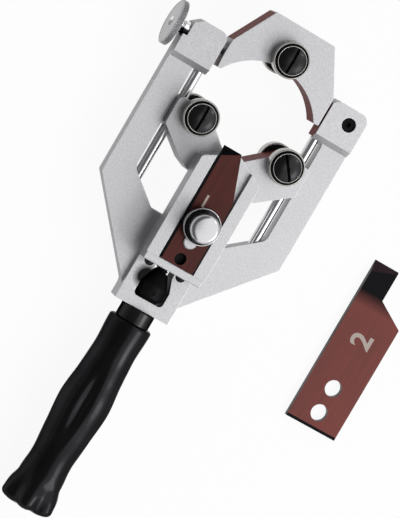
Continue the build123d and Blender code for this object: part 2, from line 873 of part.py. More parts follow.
with BuildPart() as collar_pin:
    with BuildSketch(Plane.XY.offset(-collar_radius + 0.6)):
        with Locations((0, collar_low_y + collar_pin_up)):
            Circle(collar_pin_radius)
    extrude(amount=2 * collar_radius - 1.2)
export(collar_pin.part, "collar_pin")

with BuildPart() as neck:
    with BuildSketch(Plane.XZ.offset(-grip_top_y)):
        Circle(neck_radius)
        Circle(shank_radius, mode=Mode.SUBTRACT)
    extrude(amount=-neck_length)
    chamfer(neck.edges().filter_by(GeomType.CIRCLE).sort_by(SortBy.RADIUS)[-2:], length=0.5)
export(neck.part, "handle_neck")


def barrel(distance, radius, middle, length):
    # a long barrel parallel to the handle, which cuts one flute that fades at its ends
    with BuildPart() as cutter:
        with BuildSketch(Plane.XY):
            with BuildLine():
                ThreePointArc(
                    (distance, middle - length / 2),
                    (distance + radius, middle),
                    (distance, middle + length / 2),
                )
                Line((distance, middle + length / 2), (distance, middle - length / 2))
            make_face()
        revolve(axis=Axis((distance, 0, 0), (0, 1, 0)))
    return cutter.part


with BuildPart() as grip:
    with BuildSketch(Plane.XY):
        with BuildLine():
            Line((0, grip_top_y), (grip_top_radius - 1.5, grip_top_y))
            Line((grip_top_radius - 1.5, grip_top_y), (grip_top_radius, grip_top_y - 1.5))
            Spline(
                (grip_top_radius, grip_top_y - 1.5),
                (grip_waist_radius + 0.1, grip_top_y - upper_waist_at),
                (grip_bulge_radius, grip_top_y - bulge_at),
                (grip_waist_radius, grip_top_y - lower_waist_at),
                (grip_end_radius, grip_top_y - flare_at),
                tangents=((-0.05, -1), (0, -1)),
            )
            TangentArc(
                (grip_end_flat, grip_top_y - grip_length),
                (grip_end_radius, grip_top_y - flare_at),
                tangent=(1, 0),
            )
            Line((grip_end_flat, grip_top_y - grip_length), (0, grip_top_y - grip_length))
            Line((0, grip_top_y - grip_length), (0, grip_top_y))
        make_face()
    revolve(axis=Axis.Y)
    bulge_barrel = barrel(
        grip_bulge_radius + flute_radius - bulge_flute_depth,
        flute_radius,
        grip_top_y - bulge_at,
        bulge_flute_length,
    )
    end_barrel = barrel(
        grip_end_radius + flute_radius - end_flute_depth,
        flute_radius,
        grip_top_y - grip_length,
        end_flute_length,
    )
    for i in range(flute_count):
        turn = 360 / flute_count * (i + 0.5)
        add(bulge_barrel.rotate(Axis.Y, turn), mode=Mode.SUBTRACT)
        add(end_barrel.rotate(Axis.Y, turn), mode=Mode.SUBTRACT)
    with BuildSketch(Plane.XZ.offset(-grip_top_y)):
        Circle(shank_radius)
    extrude(amount=screw_into_grip, mode=Mode.SUBTRACT)
export(grip.part, "handle_grip")

# Loose blade: the same pattern a size larger, with a straight tip and a slanted shoulder
rest_z = -(slider_back + spacer_thickness + roller_width + head_height)
spare_half = spare_width * spare_scale / 2
spare_low_y = -spare_below_cable
spare_top_y = spare_low_y + spare_length * spare_scale
spare_left = spare_offset - spare_half
spare_tip_right = spare_left + spare_tip_width * spare_scale
with BuildPart() as spare_blade:
    with BuildSketch(Plane.XY.offset(rest_z)):
        with BuildLine():
            Polyline(
                (spare_left, spare_low_y),
                (spare_offset + spare_half, spare_low_y),
                (spare_offset + spare_half, spare_top_y - (spare_tip_length + spare_slant) * spare_scale),
                (spare_tip_right, spare_top_y - spare_tip_length * spare_scale),
                (spare_tip_right, spare_top_y),
                (spare_left, spare_top_y),
                close=True,
            )
        make_face()
        with Locations(
            (spare_offset, spare_low_y + spare_hole_margin * spare_scale),
            (spare_offset, spare_low_y + (spare_hole_margin + hole_pitch) * spare_scale),
        ):
            Circle(hole_radius * spare_scale, mode=Mode.SUBTRACT)
    extrude(amount=spare_thickness)
ground(
    spare_blade,
    spare_left,
    spare_tip_right,
    spare_top_y,
    spare_ground_low * spare_scale,
    spare_ground_high * spare_scale,
    rest_z + spare_thickness,
    spare_thickness - 0.3,
)
export(spare_blade.part, "spare_blade")
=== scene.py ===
import math
import bmesh
import bpy
from mathutils import Matrix, Vector


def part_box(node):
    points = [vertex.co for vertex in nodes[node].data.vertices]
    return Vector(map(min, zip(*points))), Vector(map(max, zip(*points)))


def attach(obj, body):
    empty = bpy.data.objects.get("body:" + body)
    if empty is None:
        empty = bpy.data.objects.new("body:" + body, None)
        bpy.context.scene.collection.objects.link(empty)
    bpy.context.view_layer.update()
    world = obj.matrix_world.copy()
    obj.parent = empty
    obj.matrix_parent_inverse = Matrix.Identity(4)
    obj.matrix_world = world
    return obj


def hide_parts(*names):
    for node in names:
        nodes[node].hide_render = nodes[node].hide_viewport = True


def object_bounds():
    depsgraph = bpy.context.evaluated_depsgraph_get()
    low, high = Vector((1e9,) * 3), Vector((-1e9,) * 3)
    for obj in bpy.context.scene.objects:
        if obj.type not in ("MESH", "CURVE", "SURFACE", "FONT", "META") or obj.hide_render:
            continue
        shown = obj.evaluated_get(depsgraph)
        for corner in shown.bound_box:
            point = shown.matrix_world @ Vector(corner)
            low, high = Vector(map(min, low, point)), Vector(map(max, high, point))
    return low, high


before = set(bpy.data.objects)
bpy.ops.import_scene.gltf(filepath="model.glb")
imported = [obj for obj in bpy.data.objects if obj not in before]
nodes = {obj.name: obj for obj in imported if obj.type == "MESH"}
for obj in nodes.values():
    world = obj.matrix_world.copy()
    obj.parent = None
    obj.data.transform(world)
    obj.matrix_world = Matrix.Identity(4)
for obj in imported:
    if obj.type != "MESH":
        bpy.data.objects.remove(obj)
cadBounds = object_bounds()
mm = 0.001
print("frame loaded:", len(nodes), "nodes")

cameraView = {
    "place": (-423.8, -5.3, 1500.0),  # mm, over the tool and to its left
    "aim": (17.05, -92.2, 0.0),
    "roll": -31.1,  # degrees: the tool's axis points up and to the right in the picture
    "lens": 122.4,
    "sensor": 24.0,
}


def placeCamera(view):
    data = bpy.data.cameras.new("photoCamera")
    data.sensor_fit = "VERTICAL"
    data.sensor_height = view["sensor"]
    data.lens = view["lens"]
    data.clip_end = 20
    camera = bpy.data.objects.new("photoCamera", data)
    bpy.context.scene.collection.objects.link(camera)
    place = Vector(view["place"]) * mm
    forward = (Vector(view["aim"]) * mm - place).normalized()
    roll = math.radians(view["roll"])
    right = forward.cross(Vector((math.sin(roll), math.cos(roll), 0))).normalized()
    up = right.cross(forward)
    turn = Matrix((right, up, -forward)).transposed()
    camera.matrix_world = Matrix.Translation(place) @ turn.to_4x4()
    bpy.context.scene.camera = camera


placeCamera(cameraView)
bpy.context.scene.view_settings.view_transform = "Standard"
print("camera placed")


# Node helpers: a material's tree is built from the shader outwards
def startMaterial(name, color, metallic, roughness):
    material = bpy.data.materials.new(name)
    material.use_nodes = True
    tree = material.node_tree
    shader = tree.nodes["Principled BSDF"]
    shader.inputs["Base Color"].default_value = (*color, 1)
    shader.inputs["Metallic"].default_value = metallic
    shader.inputs["Roughness"].default_value = roughness
    return material, tree, shader


def addNode(tree, kind, inputs=None, **settings):
    node = tree.nodes.new("ShaderNode" + kind)
    for key, value in settings.items():
        setattr(node, key, value)
    for key, value in (inputs or {}).items():
        if isinstance(value, bpy.types.NodeSocket):
            tree.links.new(value, node.inputs[key])
        else:
            node.inputs[key].default_value = value
    return node


def maths(tree, operation, first, second=0.0, third=0.0):
    inputs = {0: first, 1: second}
    if operation in ("COMPARE", "MULTIPLY_ADD"):
        inputs[2] = third
    return addNode(tree, "Math", inputs, operation=operation).outputs[0]


def objectPoint(tree):
    return addNode(tree, "TexCoord").outputs["Object"]


def mapped(tree, scale):
    return addNode(tree, "Mapping", {"Vector": objectPoint(tree), "Scale": scale}).outputs[0]


def noiseAt(tree, vector, scale, detail=2.0, rough=0.5):
    settings = {"Vector": vector, "Scale": scale, "Detail": detail, "Roughness": rough}
    return addNode(tree, "TexNoise", settings).outputs["Fac"]


def rangeOf(tree, value, low, high, toLow, toHigh):
    inputs = {"Value": value, "From Min": low, "From Max": high, "To Min": toLow, "To Max": toHigh}
    return addNode(tree, "MapRange", inputs).outputs[0]


def mixColors(tree, factor, first, second):
    node = addNode(tree, "Mix", data_type="RGBA")
    for index, value in ((0, factor), (6, first), (7, second)):
        if isinstance(value, bpy.types.NodeSocket):
            tree.links.new(value, node.inputs[index])
        elif index:
            node.inputs[index].default_value = (*value, 1)
        else:
            node.inputs[index].default_value = value
    return node.outputs[2]


def bumpFrom(tree, shader, height, strength, distance, edge=None):
    settings = {"Height": height, "Strength": strength, "Distance": distance}
    if edge:
        settings["Normal"] = edge
    bump = addNode(tree, "Bump", settings)
    tree.links.new(bump.outputs[0], shader.inputs["Normal"])


def roundedEdges(tree, radius):
    return addNode(tree, "Bevel", {"Radius": radius}, samples=6).outputs[0]


def wornAndHighlitEdges(tree, radius):
    # 1 where the rounded normal leaves the face's own, so only along the edges: the worn metal and painted
    # highlight along the chamfers
    flat = addNode(tree, "NewGeometry").outputs["True Normal"]
    turned = addNode(tree, "VectorMath", {0: roundedEdges(tree, radius), 1: flat}, operation="DOT_PRODUCT")
    return rangeOf(tree, turned.outputs["Value"], 0.995, 0.85, 0.0, 1.0)


def pointParts(tree, point):
    node = addNode(tree, "SeparateXYZ", {"Vector": point})
    return node.outputs[0], node.outputs[1], node.outputs[2]


def normalParts(tree):
    node = addNode(tree, "SeparateXYZ", {"Vector": addNode(tree, "TexCoord").outputs["Normal"]})
    return node.outputs[0], node.outputs[1], node.outputs[2]


def centredOn(tree, place):
    settings = {"Vector": objectPoint(tree), "Location": place}
    return addNode(tree, "Mapping", settings, vector_type="TEXTURE").outputs[0]


def discReach(tree, place):
    # distance from an axis parallel to Z
    x, y, z = pointParts(tree, centredOn(tree, place))
    flat = addNode(tree, "CombineXYZ", {"X": x, "Y": y})
    return addNode(tree, "VectorMath", {0: flat.outputs[0]}, operation="LENGTH").outputs["Value"]


aluminiumLook = {
    "color": (0.640, 0.640, 0.650),
    "dark": (0.500, 0.500, 0.512),
    # edge colour: worn metal and a painted highlight along the chamfers
    "edge": (0.86, 0.86, 0.87),
    # painted shade: the dark tone laid on the slider's left wing
    "dull": (0.13, 0.13, 0.135),
    "outline": (0.42, 0.42, 0.42, 1),
    "metallic": 0.72,
    "roughness": 0.42,
    "grain": 1150.0,  # noise scale per metre: the blasted grain is about a millimetre
    "cloud": 26.0,
    "bump": 0.22,
    "round": 0.4 * mm,
    "wearAndHighlight": 0.55 * mm,
    # near black for painted shade: the collar's shadow, the window walls, the stem under the end plate and
    # the holder's hole
    "paintedShade": (0.006, 0.006, 0.006),
}
brownLook = {"color": (0.165, 0.030, 0.024), "pale": (0.180, 0.058, 0.052)}
# how far and how strongly the painted shade falls across the slider's left wing
wingShade = {"start": -17.0 * mm, "full": -33.0 * mm, "most": 0.34}


def leftShade(tree, point):
    # painted shade: the wing under the left roller is darker than the rest, standing in for the roller's
    # shadow
    x, y, z = pointParts(tree, point)
    return rangeOf(tree, x, wingShade["start"], wingShade["full"], 0.0, wingShade["most"])


def satinAluminium(name, brownMask=None, paintedShadeMask=None, wingShadeMask=None):
    look = aluminiumLook
    material, tree, shader = startMaterial(name, look["color"], look["metallic"], look["roughness"])
    shader.inputs["Specular Tint"].default_value = look["outline"]
    point = objectPoint(tree)
    grain = noiseAt(tree, point, look["grain"], 3.0, 0.65)
    cloud = noiseAt(tree, point, look["cloud"], 3.0)
    speck = rangeOf(tree, grain, 0.34, 0.66, -0.05, 0.75)
    tone = maths(tree, "MULTIPLY_ADD", cloud, 0.3, speck)
    color = mixColors(tree, tone, look["color"], look["dark"])
    # painted shade over the slider's left wing
    if wingShadeMask:
        color = mixColors(tree, wingShadeMask(tree, point), color, look["dull"])
    if brownMask:
        mask = brownMask(tree, point)
        brown = mixColors(tree, cloud, brownLook["color"], brownLook["pale"])
        color = mixColors(tree, mask, color, brown)
    rubbed = rangeOf(tree, grain, 0.3, 0.6, 0.35, 0.9)
    wearAndHighlight = maths(tree, "MULTIPLY", wornAndHighlitEdges(tree, look["wearAndHighlight"]), rubbed)
    # edges lightened as worn metal and as a painted highlight along the chamfers
    color = mixColors(tree, wearAndHighlight, color, look["edge"])
    # painted shade laid over the metal where the mask says
    if paintedShadeMask:
        color = mixColors(tree, paintedShadeMask(tree, point), color, look["paintedShade"])
    tree.links.new(color, shader.inputs["Base Color"])
    tree.links.new(rangeOf(tree, grain, 0.3, 0.7, 0.36, 0.5), shader.inputs["Roughness"])
    bumpFrom(tree, shader, grain, look["bump"], 0.2 * mm, roundedEdges(tree, look["round"]))
    return material


# How far a face's normal may lean to the front or the back while the face still counts as a wall
wallLean = 0.3
throat = {"centreY": -9.0 * mm, "radius": 38.3 * mm, "tolerance": 0.4 * mm}
shoulder = {"across": -0.878, "tolerance": 0.04}
flanks = {"along": 0.766, "tolerance": 0.06}
blockFaces = {"reach": 37.6 * mm, "tolerance": 0.12 * mm, "above": 2.0 * mm, "across": 0.9}


def jawBrown(tree, point):
    # the throat's wall and the slanted shoulder at the free end
    x, y, z = pointParts(tree, point)
    across, along, front = normalParts(tree)
    fromCentre = addNode(tree, "CombineXYZ", {"X": x, "Y": maths(tree, "SUBTRACT", y, throat["centreY"])})
    reach = addNode(tree, "VectorMath", {0: fromCentre.outputs[0]}, operation="LENGTH").outputs["Value"]
    wall = maths(tree, "COMPARE", reach, throat["radius"], throat["tolerance"])
    slant = maths(tree, "COMPARE", across, shoulder["across"], shoulder["tolerance"])
    upright = maths(tree, "LESS_THAN", maths(tree, "ABSOLUTE", front), wallLean)
    either = maths(tree, "MAXIMUM", wall, slant)
    return maths(tree, "MULTIPLY", either, upright)


def sliderBrown(tree, point):
    # both flanks of the V, told by their slope alone
    across, along, front = normalParts(tree)
    flank = maths(tree, "COMPARE", along, flanks["along"], flanks["tolerance"])
    upright = maths(tree, "LESS_THAN", maths(tree, "ABSOLUTE", front), wallLean)
    return maths(tree, "MULTIPLY", flank, upright)


def frameBrown(tree, point):
    # the inner faces of the two blocks
    x, y, z = pointParts(tree, point)
    inner = maths(tree, "COMPARE", maths(tree, "ABSOLUTE", x), blockFaces["reach"], blockFaces["tolerance"])
    high = maths(tree, "GREATER_THAN", y, blockFaces["above"])
    across, along, front = normalParts(tree)
    upright = maths(tree, "GREATER_THAN", maths(tree, "ABSOLUTE", across), blockFaces["across"])
    return maths(tree, "MULTIPLY", maths(tree, "MULTIPLY", inner, high), upright)


# painted shadow of the collar on the base front
collarShadowSpot = {"centre": (-8.2 * mm, -116.4 * mm, 0), "solid": 5.4 * mm, "reach": 9.4 * mm, "ragged": 1.5 * mm}
window = {"half": 10.3 * mm, "low": -129.2 * mm, "high": -100.0 * mm, "lean": 0.5}


def framePaintedShade(tree, point):
    # painted shadow of the proud collar on the base beside the window, and painted shade on the window's own
    # walls
    reach = discReach(tree, collarShadowSpot["centre"])
    edge = noiseAt(tree, point, 400.0, 2.0)
    loose = maths(tree, "MULTIPLY_ADD", edge, collarShadowSpot["ragged"], reach)
    spot = rangeOf(tree, loose, collarShadowSpot["solid"], collarShadowSpot["reach"], 1.0, 0.0)
    x, y, z = pointParts(tree, point)
    across, along, front = normalParts(tree)
    steep = maths(tree, "LESS_THAN", maths(tree, "ABSOLUTE", front), window["lean"])
    narrow = maths(tree, "LESS_THAN", maths(tree, "ABSOLUTE", x), window["half"])
    middle = (window["low"] + window["high"]) / 2
    level = maths(tree, "COMPARE", y, middle, window["high"] - middle)
    walls = maths(tree, "MULTIPLY", maths(tree, "MULTIPLY", steep, narrow), level)
    return maths(tree, "MAXIMUM", spot, walls)


stemShadeLine = {"start": -97.0 * mm, "full": -99.0 * mm}


def stemPaintedShade(tree, point):
    # the slider's stem, with painted shade where it runs down under the end plate to the collar
    x, y, z = pointParts(tree, point)
    return rangeOf(tree, y, stemShadeLine["start"], stemShadeLine["full"], 0.0, 1.0)


footHoleShade = {"centre": (0, -96.54 * mm, 0), "radius": 3.9 * mm}


def holderHoleShade(tree, point):
    # painted shade: a black disc for the deep hole behind the blade's lowest one
    return maths(tree, "LESS_THAN", discReach(tree, footHoleShade["centre"]), footHoleShade["radius"])


# Depth of the bump and rounding of the edges that the steels and the blacks share
fineRelief = 0.05 * mm
fineRound = 0.15 * mm
steelLook = {
    "chrome": {"color": (0.78, 0.78, 0.80), "roughness": 0.1, "grain": 300.0, "spread": 0.05},
    "knob": {"color": (0.50, 0.50, 0.51), "roughness": 0.17, "grain": 300.0, "spread": 0.04,
             # groove, capHeight and dark set where and how dark the painted reflection lies on the knob
             "groove": 10.5 * mm, "capHeight": 6.6 * mm, "dark": (0.01, 0.01, 0.011), "rings": 9000.0},
    "rod": {"color": (0.70, 0.70, 0.71), "roughness": 0.16, "grain": 500.0, "spread": 0.06},
    "disc": {"color": (0.40, 0.40, 0.41), "roughness": 0.3, "grain": 900.0, "spread": 0.1},
    "ground": {"color": (0.46, 0.46, 0.47), "roughness": 0.28, "grain": 900.0, "spread": 0.12},
    "rim": {"color": (0.50, 0.49, 0.47), "roughness": 0.25, "grain": 700.0, "spread": 0.08},
}


def steel(name, look, stretch=(1, 1, 1)):
    material, tree, shader = startMaterial(name, look["color"], 1.0, look["roughness"])
    streaks = noiseAt(tree, mapped(tree, stretch), look["grain"], 3.0)
    low, high = look["roughness"] - look["spread"], look["roughness"] + look["spread"]
    tree.links.new(rangeOf(tree, streaks, 0.3, 0.7, low, high), shader.inputs["Roughness"])
    tarnish = rangeOf(tree, noiseAt(tree, objectPoint(tree), 60.0, 3.0), 0.4, 0.75, 0.0, 0.6)
    dull = [part * 0.8 for part in look["color"]]
    tree.links.new(mixColors(tree, tarnish, look["color"], dull), shader.inputs["Base Color"])
    bumpFrom(tree, shader, streaks, 0.03, fineRelief, roundedEdges(tree, fineRound))
    return material


# painted reflection: near black on the neck's lower half
neckDarkReflection = {"color": (0.012, 0.012, 0.012), "ragged": 1.6 * mm, "start": 0.6 * mm, "fullChrome": 1.6 * mm}


def neckChrome(name, axisY):
    # chrome on top, with a painted dark reflection from the middle down
    look = steelLook["chrome"]
    material, tree, shader = startMaterial(name, look["color"], 1.0, look["roughness"])
    x, y, z = pointParts(tree, objectPoint(tree))
    ragging = noiseAt(tree, objectPoint(tree), 500.0, 2.0)
    level = maths(tree, "MULTIPLY_ADD", ragging, neckDarkReflection["ragged"], y)
    fullChrome = rangeOf(tree, level, axisY + neckDarkReflection["start"], axisY + neckDarkReflection["fullChrome"], 0.0, 1.0)
    tree.links.new(mixColors(tree, fullChrome, neckDarkReflection["color"], look["color"]), shader.inputs["Base Color"])
    bumpFrom(tree, shader, ragging, 0.05, fineRelief, roundedEdges(tree, fineRound))
    return material


def knobChrome(name, box):
    # bright cap and rim, with a painted dark reflection on the turned groove between them
    look = steelLook["knob"]
    material, tree, shader = startMaterial(name, look["color"], 1.0, look["roughness"])
    centre = ((box[0][0] + box[1][0]) / 2, (box[0][1] + box[1][1]) / 2, 0)
    reach = discReach(tree, centre)
    x, y, z = pointParts(tree, objectPoint(tree))
    inside = maths(tree, "LESS_THAN", reach, look["groove"])
    under = maths(tree, "LESS_THAN", z, box[1][2] - look["capHeight"])
    rings = maths(tree, "SINE", maths(tree, "MULTIPLY", reach, look["rings"]))
    shade = rangeOf(tree, rings, -1.0, 1.0, 0.93, 1.0)
    # painted reflection: darkened inside the groove, with faint turned rings
    dark = maths(tree, "MULTIPLY", maths(tree, "MULTIPLY", inside, under), shade)
    tree.links.new(mixColors(tree, dark, look["color"], look["dark"]), shader.inputs["Base Color"])
    polish = noiseAt(tree, objectPoint(tree), look["grain"], 3.0)
    low, high = look["roughness"] - look["spread"], look["roughness"] + look["spread"]
    tree.links.new(rangeOf(tree, polish, 0.3, 0.7, low, high), shader.inputs["Roughness"])
    bumpFrom(tree, shader, polish, 0.02, fineRelief, roundedEdges(tree, fineRound))
    return material


raceLook = {
    "ring": (0.42, 0.41, 0.39),
    "lip": (0.010, 0.010, 0.010),
    "lipReach": 10.25 * mm,
    "facing": 0.6,
    "roughness": (0.2, 0.42),
    "round": 0.3 * mm,
}


def raceSteel(name, centre):
    # bright ground ring whose face is blackened inside its outer chamfer
    material, tree, shader = startMaterial(name, raceLook["ring"], 1.0, 0.3)
    across, along, front = normalParts(tree)
    facing = maths(tree, "GREATER_THAN", maths(tree, "ABSOLUTE", front), raceLook["facing"])
    inside = maths(tree, "LESS_THAN", discReach(tree, centre), raceLook["lipReach"])
    blackened = maths(tree, "MULTIPLY", facing, inside)
    color = mixColors(tree, blackened, raceLook["ring"], raceLook["lip"])
    tree.links.new(color, shader.inputs["Base Color"])
    polish = noiseAt(tree, objectPoint(tree), 700.0, 3.0)
    tree.links.new(rangeOf(tree, polish, 0.3, 0.7, *raceLook["roughness"]), shader.inputs["Roughness"])
    bumpFrom(tree, shader, polish, 0.04, fineRelief, roundedEdges(tree, raceLook["round"]))
    return material


blackLook = {
    "oxide": {"color": (0.036, 0.036, 0.037), "metallic": 0.85, "outline": 0.1, "roughness": 0.24,
              "grain": 1200.0, "bump": 0.05},
    "shield": {"color": (0.012, 0.012, 0.012), "metallic": 0.5, "outline": 0.0, "roughness": 0.5,
               "grain": 900.0, "bump": 0.05},
    "collar": {"color": (0.013, 0.013, 0.014), "metallic": 0.5, "outline": 0.0, "roughness": 0.5,
               "grain": 900.0, "bump": 0.08},
    "grip": {"color": (0.023, 0.023, 0.0245), "metallic": 0.78, "outline": 0.45, "roughness": 0.2,
             "grain": 600.0, "bump": 0.05},
}
wipeLook = {"scale": 45.0, "faded": 0.7, "smoother": 0.07, "rougher": 0.09}


# The screwdriver slot, painted dark as shade; its turn is in degrees from the tool's own axis, seen from the
# front
slotLook = {
    "reach": 8.3 * mm,
    "half": 0.86 * mm,
    "turns": {"upper": 0, "left": 0, "right": -142},
    # painted shade in the slot
    "color": (0.0015, 0.0015, 0.0015),
}


def black(name, look, slotShadeMask=None):
    # a dark mirror that stays dark along its outline
    material, tree, shader = startMaterial(name, look["color"], look["metallic"], look["roughness"])
    shader.inputs["Specular Tint"].default_value = (look["outline"], look["outline"], look["outline"], 1)
    shader.inputs["Specular IOR Level"].default_value = 0.0
    point = objectPoint(tree)
    grain = noiseAt(tree, point, look["grain"], 3.0)
    wipes = noiseAt(tree, point, wipeLook["scale"], 3.0)
    faded = [part * wipeLook["faded"] for part in look["color"]]
    color = mixColors(tree, rangeOf(tree, wipes, 0.35, 0.65, 0.0, 1.0), look["color"], faded)
    if slotShadeMask:
        color = mixColors(tree, slotShadeMask(tree), color, slotLook["color"])
    tree.links.new(color, shader.inputs["Base Color"])
    low, high = look["roughness"] - wipeLook["smoother"], look["roughness"] + wipeLook["rougher"]
    tree.links.new(rangeOf(tree, wipes, 0.3, 0.7, low, high), shader.inputs["Roughness"])
    bumpFrom(tree, shader, grain, look["bump"], fineRelief, roundedEdges(tree, fineRound))
    return material


def slottedHead(name, centre, turn):
    # black oxide with painted shade in its screwdriver slot; the back head's slot is turned the other way
    angle = math.radians(turn)

    def slotShadeMask(tree):
        x, y, z = pointParts(tree, centredOn(tree, centre))
        mirrored = maths(tree, "MULTIPLY", y, maths(tree, "SIGN", z))
        slope = maths(tree, "MULTIPLY", x, math.cos(angle))
        across = maths(tree, "MULTIPLY_ADD", mirrored, math.sin(angle), slope)
        inside = maths(tree, "LESS_THAN", discReach(tree, centre), slotLook["reach"])
        slot = maths(tree, "LESS_THAN", maths(tree, "ABSOLUTE", across), slotLook["half"])
        return maths(tree, "MULTIPLY", slot, inside)

    return black(name, blackLook["oxide"], slotShadeMask)


bladeLook = {
    "fitted": {
        "body": (0.084, 0.023, 0.020), "warm": (0.053, 0.021, 0.018), "side": (0.010, 0.008, 0.008),
        # edge: width of the painted shadow along the fitted blade's left edge; foot: height of the painted
        # shade along a blade's foot
        "dark": None, "foot": 0.0, "edge": 0.9 * mm, "ground": (0.005, 0.005, 0.006)},
    "loose": {
        "body": (0.150, 0.043, 0.037), "warm": (0.112, 0.040, 0.035), "side": (0.045, 0.032, 0.031),
        "dark": (-69.5 * mm, -60.0 * mm), "foot": 1.9 * mm, "edge": 0.0, "ground": (0.040, 0.024, 0.029)},
    "black": (0.004, 0.004, 0.005),
    "metallic": 0.7,
    "streaks": (900, 25, 25),  # per metre, so that they run along the blade
    "bevelled": (0.2, 0.998),  # how squarely a ground face looks to the front, from and to
    "round": 0.2 * mm,
}


def bladeSteel(name, look, box):
    # oxide brown with fine streaks along the blade, black where its tip is ground; painted shadow along the
    # fitted blade's left edge and painted shade along the loose blade's foot
    material, tree, shader = startMaterial(name, look["body"], bladeLook["metallic"], 0.35)
    shader.inputs["Specular IOR Level"].default_value = 0.15
    point = objectPoint(tree)
    x, y, z = pointParts(tree, point)
    across, along, front = normalParts(tree)
    lean = maths(tree, "ABSOLUTE", front)
    cloud = noiseAt(tree, point, 40.0, 3.0)
    streaks = noiseAt(tree, mapped(tree, bladeLook["streaks"]), 1.0, 3.0)
    shade = maths(tree, "MULTIPLY_ADD", streaks, 0.7, maths(tree, "MULTIPLY", cloud, 0.5))
    color = mixColors(tree, rangeOf(tree, shade, 0.4, 0.8, 0.0, 1.0), look["body"], look["warm"])
    steep, square = bladeLook["bevelled"]
    side = maths(tree, "LESS_THAN", lean, steep)
    color = mixColors(tree, side, color, look["side"])
    if look["dark"]:
        color = mixColors(tree, rangeOf(tree, y, *look["dark"], 0.0, 1.0), color, bladeLook["black"])
    # painted shade: black along the loose blade's foot for its dark lower chamfer
    if look["foot"]:
        foot = maths(tree, "LESS_THAN", y, box[0][1] + look["foot"])
        color = mixColors(tree, foot, color, bladeLook["black"])
    # painted shadow: black along the fitted blade's left edge for the shaded gap beside the channel wall
    if look["edge"]:
        edge = rangeOf(tree, x, box[0][0] + look["edge"] * 0.5, box[0][0] + look["edge"], 1.0, 0.0)
        color = mixColors(tree, edge, color, bladeLook["black"])
    tilted = maths(tree, "LESS_THAN", lean, square)
    ground = maths(tree, "MULTIPLY", maths(tree, "GREATER_THAN", lean, steep), tilted)
    color = mixColors(tree, ground, color, look["ground"])
    tree.links.new(color, shader.inputs["Base Color"])
    tree.links.new(rangeOf(tree, streaks, 0.3, 0.7, 0.28, 0.42), shader.inputs["Roughness"])
    bumpFrom(tree, shader, streaks, 0.05, fineRelief, roundedEdges(tree, bladeLook["round"]))
    return material


def flatInk(name, color):
    material, tree, shader = startMaterial(name, color, 0.0, 0.55)
    etch = noiseAt(tree, objectPoint(tree), 2500.0, 2.0)
    faded = [part * 0.75 for part in color]
    tree.links.new(mixColors(tree, etch, color, faded), shader.inputs["Base Color"])
    return material


axles = {}
for place in ("upper", "left", "right"):
    low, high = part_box("roller_screws_" + place)
    axles[place] = ((low[0] + high[0]) / 2, (low[1] + high[1]) / 2, 0)
discAxisY = sum(corner[1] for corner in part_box("latch_knob")) / 2

looks = {
    "satin": satinAluminium("satinAluminium"),
    "jaw": satinAluminium("satinAluminiumJaw", jawBrown),
    "slider": satinAluminium("satinAluminiumSlider", sliderBrown, stemPaintedShade, leftShade),
    "yoke": satinAluminium("satinAluminiumYoke", frameBrown, framePaintedShade),
    "holder": satinAluminium("satinAluminiumHolder", None, holderHoleShade),
    "chrome": steel("polishedChrome", steelLook["chrome"]),
    "neck": neckChrome("chromeDarkReflection", discAxisY),
    "rod": steel("groundRod", steelLook["rod"], (1, 0.05, 1)),
    "disc": steel("turnedSteel", steelLook["disc"]),
    "ground": steel("groundSteel", steelLook["ground"]),
    "rim": steel("rimSteel", steelLook["rim"]),
    "oxide": black("blackOxide", blackLook["oxide"]),
    "collar": black("blackCollar", blackLook["collar"]),
    "shield": black("bearingShield", blackLook["shield"]),
    "grip": black("gripPlastic", blackLook["grip"]),
    "blade": bladeSteel("bladeBrown", bladeLook["fitted"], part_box("cutting_blade")),
    "spare": bladeSteel("bladeBrownLoose", bladeLook["loose"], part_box("spare_blade")),
    "knob": knobChrome("satinChrome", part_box("blade_knob")),
    "mark": flatInk("etchedMark", (0.50, 0.42, 0.37)),
}
for place, axle in axles.items():
    looks["race_" + place] = raceSteel("bearingSteel_" + place, axle)
    looks["head_" + place] = slottedHead("blackOxideHead_" + place, axle, slotLook["turns"][place])
nodeLooks = {
    "frame": "yoke", "upper_jaw": "jaw", "slider": "slider", "blade_holder": "holder",
    "holder_end_plate": "satin", "end_plate_screws": "oxide", "holder_screws": "ground",
    "guide_rod_left": "rod", "guide_rod_right": "rod", "hinge_pin": "shield",
    "latch_screw": "neck", "latch_knob": "disc",
    "cutting_blade": "blade", "spare_blade": "spare", "blade_locating_screw": "ground",
    "blade_knob": "chrome", "blade_stud": "ground", "clamp_washer": "ground",
    "feed_screw": "collar", "collar_pin": "shield", "thrust_collar": "collar",
    "handle_neck": "oxide", "handle_grip": "grip",
}
for name, node in nodes.items():
    if name.startswith("roller_cores"):
        look = "shield"
    elif name.startswith("roller_screws"):
        look = name.replace("roller_screws", "head")
    elif name.startswith("roller_spacers"):
        look = "ground"
    elif name.startswith("roller_"):
        look = "race_" + name.split("_")[1]
    else:
        look = nodeLooks[name]
    node.data.materials.clear()
    node.data.materials.append(looks[look])
print("materials made:", len(looks))


def finishPiece(name, bm, look, body, sharpAt=40.0):
    # joins doubles, turns the faces outwards and hands the mesh over to its body
    bmesh.ops.remove_doubles(bm, verts=bm.verts, dist=0.0005 * mm)
    bmesh.ops.recalc_face_normals(bm, faces=bm.faces)
    limit = math.radians(sharpAt)
    for face in bm.faces:
        face.smooth = True
    for edge in bm.edges:
        edge.smooth = len(edge.link_faces) == 2 and edge.calc_face_angle(0) < limit
    mesh = bpy.data.meshes.new(name)
    bm.to_mesh(mesh)
    bm.free()
    mesh.materials.append(looks[look])
    piece = bpy.data.objects.new(name, mesh)
    bpy.context.scene.collection.objects.link(piece)
    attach(piece, body)
    return piece


def profileEdge(bm, points):
    verts = [bm.verts.new(point) for point in points]
    return verts + [bm.edges.new(pair) for pair in zip(verts, verts[1:])]


